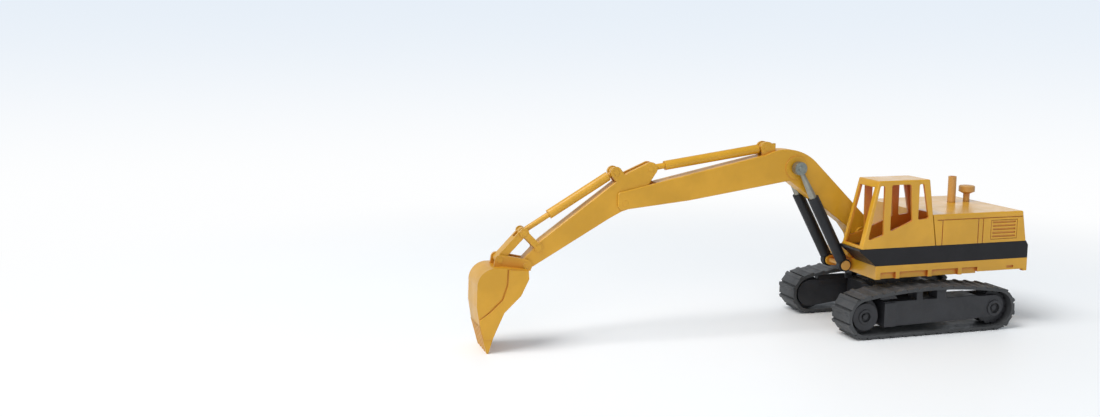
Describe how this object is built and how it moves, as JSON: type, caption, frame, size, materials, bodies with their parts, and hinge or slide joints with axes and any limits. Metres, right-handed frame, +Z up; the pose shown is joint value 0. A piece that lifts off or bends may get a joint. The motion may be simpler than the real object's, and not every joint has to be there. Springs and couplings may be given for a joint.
{
  "type": "toy crawler excavator",
  "caption": "Small-scale die-cast toy excavator on moulded tracks, with a turning house, open cab, cranked boom, stick and bucket worked through jointed cylinders.",
  "frame": {"origin": "on the ground under the slew axis, midway between the tracks", "axes": "-Y points forward along the boom, +X is the cab side (the machine's left), +Z is up"},
  "size_m": [0.0644, 0.2538, 0.0855],
  "materials": {
    "yellow_paint": "semi-gloss paint on die-cast metal",
    "black_metal": "semi-gloss black",
    "bare_metal": "dull bare metal",
    "black_plastic": "satin moulded plastic",
    "track_rubber": "matte soft moulding"
  },
  "bodies": {
    "undercarriage": {"centre_frame": "black_plastic", "left_side_frame": "black_plastic", "right_side_frame": "black_plastic", "left_track_belt": "track_rubber", "right_track_belt": "track_rubber", "wheel_axles": "black_plastic", "side_frame_rivets": "bare_metal", "slew_pivot": "bare_metal", "slew_washer": "black_plastic"},
    "left_drive_wheel": {"left_drive_wheel": "black_plastic"},
    "right_drive_wheel": {"right_drive_wheel": "black_plastic"},
    "left_idler_wheel": {"left_idler_wheel": "black_plastic"},
    "right_idler_wheel": {"right_idler_wheel": "black_plastic"},
    "upper": {"lower_frame": "yellow_paint", "deck": "black_plastic", "hood": "yellow_paint", "tool_box": "yellow_paint", "cab": "yellow_paint", "exhaust_stack": "yellow_paint", "air_precleaner": "yellow_paint", "boom_foot_pin": "yellow_paint", "cylinder_foot_pin": "yellow_paint", "body_screws": "bare_metal"},
    "boom": {"boom": "yellow_paint", "boom_cylinder_top_pin": "bare_metal", "stick_pin": "yellow_paint", "stick_cylinder_foot_pin": "yellow_paint"},
    "left_boom_barrel": {"left_boom_barrel": "black_metal"},
    "right_boom_barrel": {"right_boom_barrel": "black_metal"},
    "left_boom_rod": {"left_boom_rod": "bare_metal"},
    "right_boom_rod": {"right_boom_rod": "bare_metal"},
    "stick": {"stick": "yellow_paint", "stick_rod_studs": "yellow_paint", "bucket_cylinder_foot_pin": "yellow_paint", "lever_pin": "yellow_paint"},
    "stick_barrel": {"stick_barrel": "yellow_paint"},
    "stick_rod": {"stick_rod": "yellow_paint"},
    "bucket_barrel": {"bucket_barrel": "yellow_paint"},
    "bucket_rod": {"bucket_rod": "yellow_paint"},
    "lever": {"lever": "yellow_paint"},
    "link": {"link": "yellow_paint", "link_studs": "yellow_paint"},
    "bucket": {"bucket": "yellow_paint", "bucket_pin": "yellow_paint", "link_bottom_pin": "yellow_paint"}
  },
  "joints": [
    {"name": "slew", "type": "hinge", "parent": "undercarriage", "child": "upper", "pos_m": [0, 0, 0.0254], "axis": [0, 0, 1], "continuous": true},
    {"name": "left_drive_wheel_spin", "type": "hinge", "parent": "undercarriage", "child": "left_drive_wheel", "pos_m": [0.0247, 0.0328, 0.0098], "axis": [1, 0, 0], "continuous": true},
    {"name": "right_drive_wheel_spin", "type": "hinge", "parent": "undercarriage", "child": "right_drive_wheel", "pos_m": [-0.0247, 0.0328, 0.0098], "axis": [1, 0, 0], "continuous": true},
    {"name": "left_idler_wheel_spin", "type": "hinge", "parent": "undercarriage", "child": "left_idler_wheel", "pos_m": [0.0256, -0.0328, 0.0098], "axis": [1, 0, 0], "continuous": true},
    {"name": "right_idler_wheel_spin", "type": "hinge", "parent": "undercarriage", "child": "right_idler_wheel", "pos_m": [-0.0256, -0.0328, 0.0098], "axis": [1, 0, 0], "continuous": true},
    {"name": "boom_lift", "type": "hinge", "parent": "upper", "child": "boom", "pos_m": [0, -0.021, 0.042], "axis": [-1, 0, 0], "range_deg": [-22, 26]},
    {"name": "left_boom_barrel_tilt", "type": "hinge", "parent": "upper", "child": "left_boom_barrel", "pos_m": [0.007, -0.031, 0.0286], "axis": [-1, 0, 0], "range_deg": [-19.94, 23.39]},
    {"name": "left_boom_rod_slide", "type": "slide", "parent": "left_boom_barrel", "child": "left_boom_rod", "axis": [0, -0.4722, 0.8815], "range_m": [-0.00593, 0.00695]},
    {"name": "right_boom_barrel_tilt", "type": "hinge", "parent": "upper", "child": "right_boom_barrel", "pos_m": [-0.007, -0.031, 0.0286], "axis": [-1, 0, 0], "range_deg": [-19.94, 23.39]},
    {"name": "right_boom_rod_slide", "type": "slide", "parent": "right_boom_barrel", "child": "right_boom_rod", "axis": [0, -0.4722, 0.8815], "range_m": [-0.00593, 0.00695]},
    {"name": "stick_curl", "type": "hinge", "parent": "boom", "child": "stick", "pos_m": [0, -0.1356, 0.0604], "axis": [1, 0, 0], "range_deg": [-4, 70]},
    {"name": "stick_barrel_tilt", "type": "hinge", "parent": "boom", "child": "stick_barrel", "pos_m": [0, -0.0689, 0.0823], "axis": [1, 0, 0], "range_deg": [-4.6, 1.21]},
    {"name": "stick_rod_slide", "type": "slide", "parent": "stick_barrel", "child": "stick_rod", "axis": [0, -0.9905, -0.1376], "range_m": [-0.0015, 0.02132]},
    {"name": "bucket_curl", "type": "hinge", "parent": "stick", "child": "bucket", "pos_m": [0, -0.1797, 0.0356], "axis": [1, 0, 0], "range_deg": [-24, 56]},
    {"name": "lever_swing", "type": "hinge", "parent": "stick", "child": "lever", "pos_m": [0, -0.174, 0.043], "axis": [1, 0, 0], "range_deg": [-25, 57]},
    {"name": "link_swing", "type": "hinge", "parent": "bucket", "child": "link", "pos_m": [0, -0.1908, 0.0386], "axis": [1, 0, 0], "range_deg": [-35.72, 15.88]},
    {"name": "bucket_barrel_tilt", "type": "hinge", "parent": "stick", "child": "bucket_barrel", "pos_m": [0, -0.1394, 0.0736], "axis": [1, 0, 0], "range_deg": [-2.92, 5.48]},
    {"name": "bucket_rod_slide", "type": "slide", "parent": "bucket_barrel", "child": "bucket_rod", "axis": [0, -0.861, -0.5086], "range_m": [-0.00348, 0.00772]}
  ],
  "couplings": [
    {"joint": "left_idler_wheel_spin", "follows": "left_drive_wheel_spin", "ratio": 1},
    {"joint": "right_idler_wheel_spin", "follows": "right_drive_wheel_spin", "ratio": 1},
    {"joint": "left_boom_barrel_tilt", "follows": "boom_lift", "ratio": 0.861},
    {"joint": "left_boom_rod_slide", "follows": "boom_lift", "m_per_rad": 0.014653},
    {"joint": "right_boom_barrel_tilt", "follows": "boom_lift", "ratio": 0.861},
    {"joint": "right_boom_rod_slide", "follows": "boom_lift", "m_per_rad": 0.014653},
    {"joint": "stick_barrel_tilt", "follows": "stick_curl", "ratio": -0.0514},
    {"joint": "stick_rod_slide", "follows": "stick_curl", "m_per_rad": 0.017208},
    {"joint": "lever_swing", "follows": "bucket_curl", "ratio": 1},
    {"joint": "link_swing", "follows": "bucket_curl", "ratio": -0.62},
    {"joint": "bucket_barrel_tilt", "follows": "bucket_curl", "ratio": 0.08},
    {"joint": "bucket_rod_slide", "follows": "bucket_curl", "m_per_rad": 0.007592}
  ]
}
